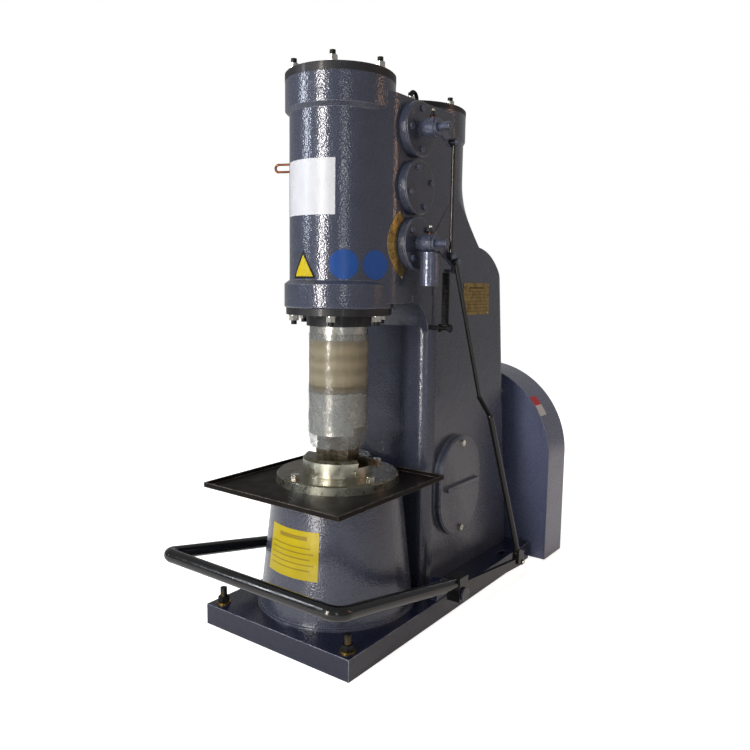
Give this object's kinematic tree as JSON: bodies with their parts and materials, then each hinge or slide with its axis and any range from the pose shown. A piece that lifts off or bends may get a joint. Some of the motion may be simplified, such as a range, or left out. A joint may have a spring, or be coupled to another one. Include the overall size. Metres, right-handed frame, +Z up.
{
  "type": "power hammer",
  "caption": "Self-contained air power hammer: ram over a round anvil, crank-driven compressor behind it, rotary valves on one side and a foot treadle round the anvil.",
  "frame": {"origin": "on the floor under the ram's axis, in the plane of the base plate's underside", "axes": "+Z up along the ram, -Y towards the operator in front of the anvil, +X to the side that carries the valve gear"},
  "size_m": [0.854, 1.6895, 2.0014],
  "materials": {
    "cast_enamel": "semi-gloss grey-blue hammered enamel",
    "base_enamel": "semi-gloss dark navy enamel",
    "guard_enamel": "semi-gloss dark blue-grey enamel on sheet",
    "black_paint": "gloss black paint",
    "tray_paint": "gloss dark paint",
    "machined_steel": "machined steel with an oily yellowish film",
    "die_steel": "dark tempered steel",
    "ground_steel": "ground steel",
    "zinc": "bright zinc plate",
    "black_steel": "blackened steel",
    "iron": "bare cast iron",
    "brass": "dull brass",
    "copper": "copper tube",
    "belt_rubber": "black rubber",
    "paper_tape": "brown paper tape",
    "clear_film": "wrinkled polyethylene film"
  },
  "bodies": {
    "frame": {"base_plate": "base_enamel", "anvil_column": "cast_enamel", "anchor_bolts": "black_steel", "anvil_ring": "machined_steel", "sow_block": "machined_steel", "lower_die": "die_steel", "lower_die_key": "die_steel", "tray": "tray_paint", "frame_casting": "cast_enamel", "front_cover": "cast_enamel", "rear_cover": "cast_enamel", "cylinder_studs": "black_steel", "cylinder_nuts": "zinc", "lifting_eye": "black_steel", "gland_flange": "machined_steel", "ram_guide_bush": "iron", "crank_bearings": "ground_steel", "bearing_cover": "cast_enamel", "v_belts": "belt_rubber", "belt_guard": "guard_enamel", "motor_body": "cast_enamel", "motor_fan_cover": "cast_enamel", "motor_plate": "base_enamel", "inspection_cover": "cast_enamel", "hex_bolts": "zinc", "upper_valve_cover": "cast_enamel", "check_valve_cover": "cast_enamel", "lower_valve_cover": "cast_enamel", "return_spring": "black_steel", "spring_anchor": "black_steel", "treadle_pivots": "base_enamel", "brass_plates": "brass", "oil_pipe": "copper"},
    "ram_assembly": {"ram": "ground_steel", "ram_piston_rings": "ground_steel", "upper_die": "die_steel", "upper_die_key": "die_steel", "paper_wrap": "paper_tape", "film_sleeve": "clear_film"},
    "compressor": {"compressor_piston": "iron", "compressor_rings": "ground_steel", "wrist_pin": "ground_steel"},
    "connecting_rod": {"conrod": "iron", "conrod_cap": "iron", "conrod_bolts": "black_steel", "crank_pin": "ground_steel"},
    "crank": {"crankshaft": "ground_steel", "bearing_inner_rings": "ground_steel", "flywheel": "iron"},
    "rotor": {"motor_rotor": "ground_steel", "motor_pulley": "iron"},
    "upper_valve_gear": {"upper_valve": "ground_steel", "upper_lever": "black_paint"},
    "lower_valve_gear": {"lower_valve": "ground_steel", "lower_lever": "black_paint", "handle_socket": "black_steel"},
    "check_disc": {"check_valve": "ground_steel"},
    "link": {"link_rod": "black_paint"},
    "pull": {"pull_rod": "black_paint"},
    "foot_treadle": {"treadle": "black_paint"}
  },
  "joints": [
    {"name": "ram_slide", "type": "slide", "parent": "frame", "child": "ram_assembly", "axis": [0, 0, 1], "range_m": [0, 0.3], "deforming": ["paper_wrap", "film_sleeve"]},
    {"name": "compressor_slide", "type": "slide", "parent": "frame", "child": "compressor", "axis": [0, 0, 1], "range_m": [0, 0.22]},
    {"name": "conrod_swing", "type": "hinge", "parent": "compressor", "child": "connecting_rod", "pos_m": [0, 0.455, 1.28], "axis": [0, 1, 0], "range_deg": [-6.7, 6.7]},
    {"name": "crank_spin", "type": "hinge", "parent": "frame", "child": "crank", "pos_m": [0, 0.5, 0.46], "axis": [0, 1, 0], "continuous": true},
    {"name": "motor_spin", "type": "hinge", "parent": "frame", "child": "rotor", "pos_m": [-0.285, 0.8, 0.219], "axis": [0, 1, 0], "continuous": true},
    {"name": "treadle_swing", "type": "hinge", "parent": "frame", "child": "foot_treadle", "pos_m": [0, 0.225, 0.118], "axis": [1, 0, 0], "range_deg": [0, 10], "stiffness_Nm_per_rad": 80, "springref_deg": -57.3},
    {"name": "lower_valve_turn", "type": "hinge", "parent": "frame", "child": "lower_valve_gear", "pos_m": [0, 0.16, 1.385], "axis": [1, 0, 0], "range_deg": [0, 43.6], "deforming": ["return_spring"]},
    {"name": "upper_valve_turn", "type": "hinge", "parent": "frame", "child": "upper_valve_gear", "pos_m": [0, 0.16, 1.777], "axis": [1, 0, 0], "range_deg": [0, 43.6]},
    {"name": "link_rod_swing", "type": "hinge", "parent": "lower_valve_gear", "child": "link", "pos_m": [0.316, 0.23894, 1.3439], "axis": [1, 0, 0], "range_deg": [-43.6, 0]},
    {"name": "pull_rod_swing", "type": "hinge", "parent": "lower_valve_gear", "child": "pull", "pos_m": [0.316, 0.27265, 1.32636], "axis": [1, 0, 0], "range_deg": [-43.6, 0]},
    {"name": "check_valve_lift", "type": "slide", "parent": "frame", "child": "check_disc", "axis": [1, 0, 0], "range_m": [0, 0.006], "stiffness_N_per_m": 400, "springref_m": -0.01}
  ],
  "couplings": [
    {"joint": "motor_spin", "follows": "crank_spin", "ratio": 6.6044},
    {"joint": "lower_valve_turn", "follows": "treadle_swing", "ratio": 4.36},
    {"joint": "upper_valve_turn", "follows": "treadle_swing", "ratio": 4.36},
    {"joint": "link_rod_swing", "follows": "treadle_swing", "ratio": -4.36},
    {"joint": "pull_rod_swing", "follows": "treadle_swing", "ratio": -4.36}
  ]
}
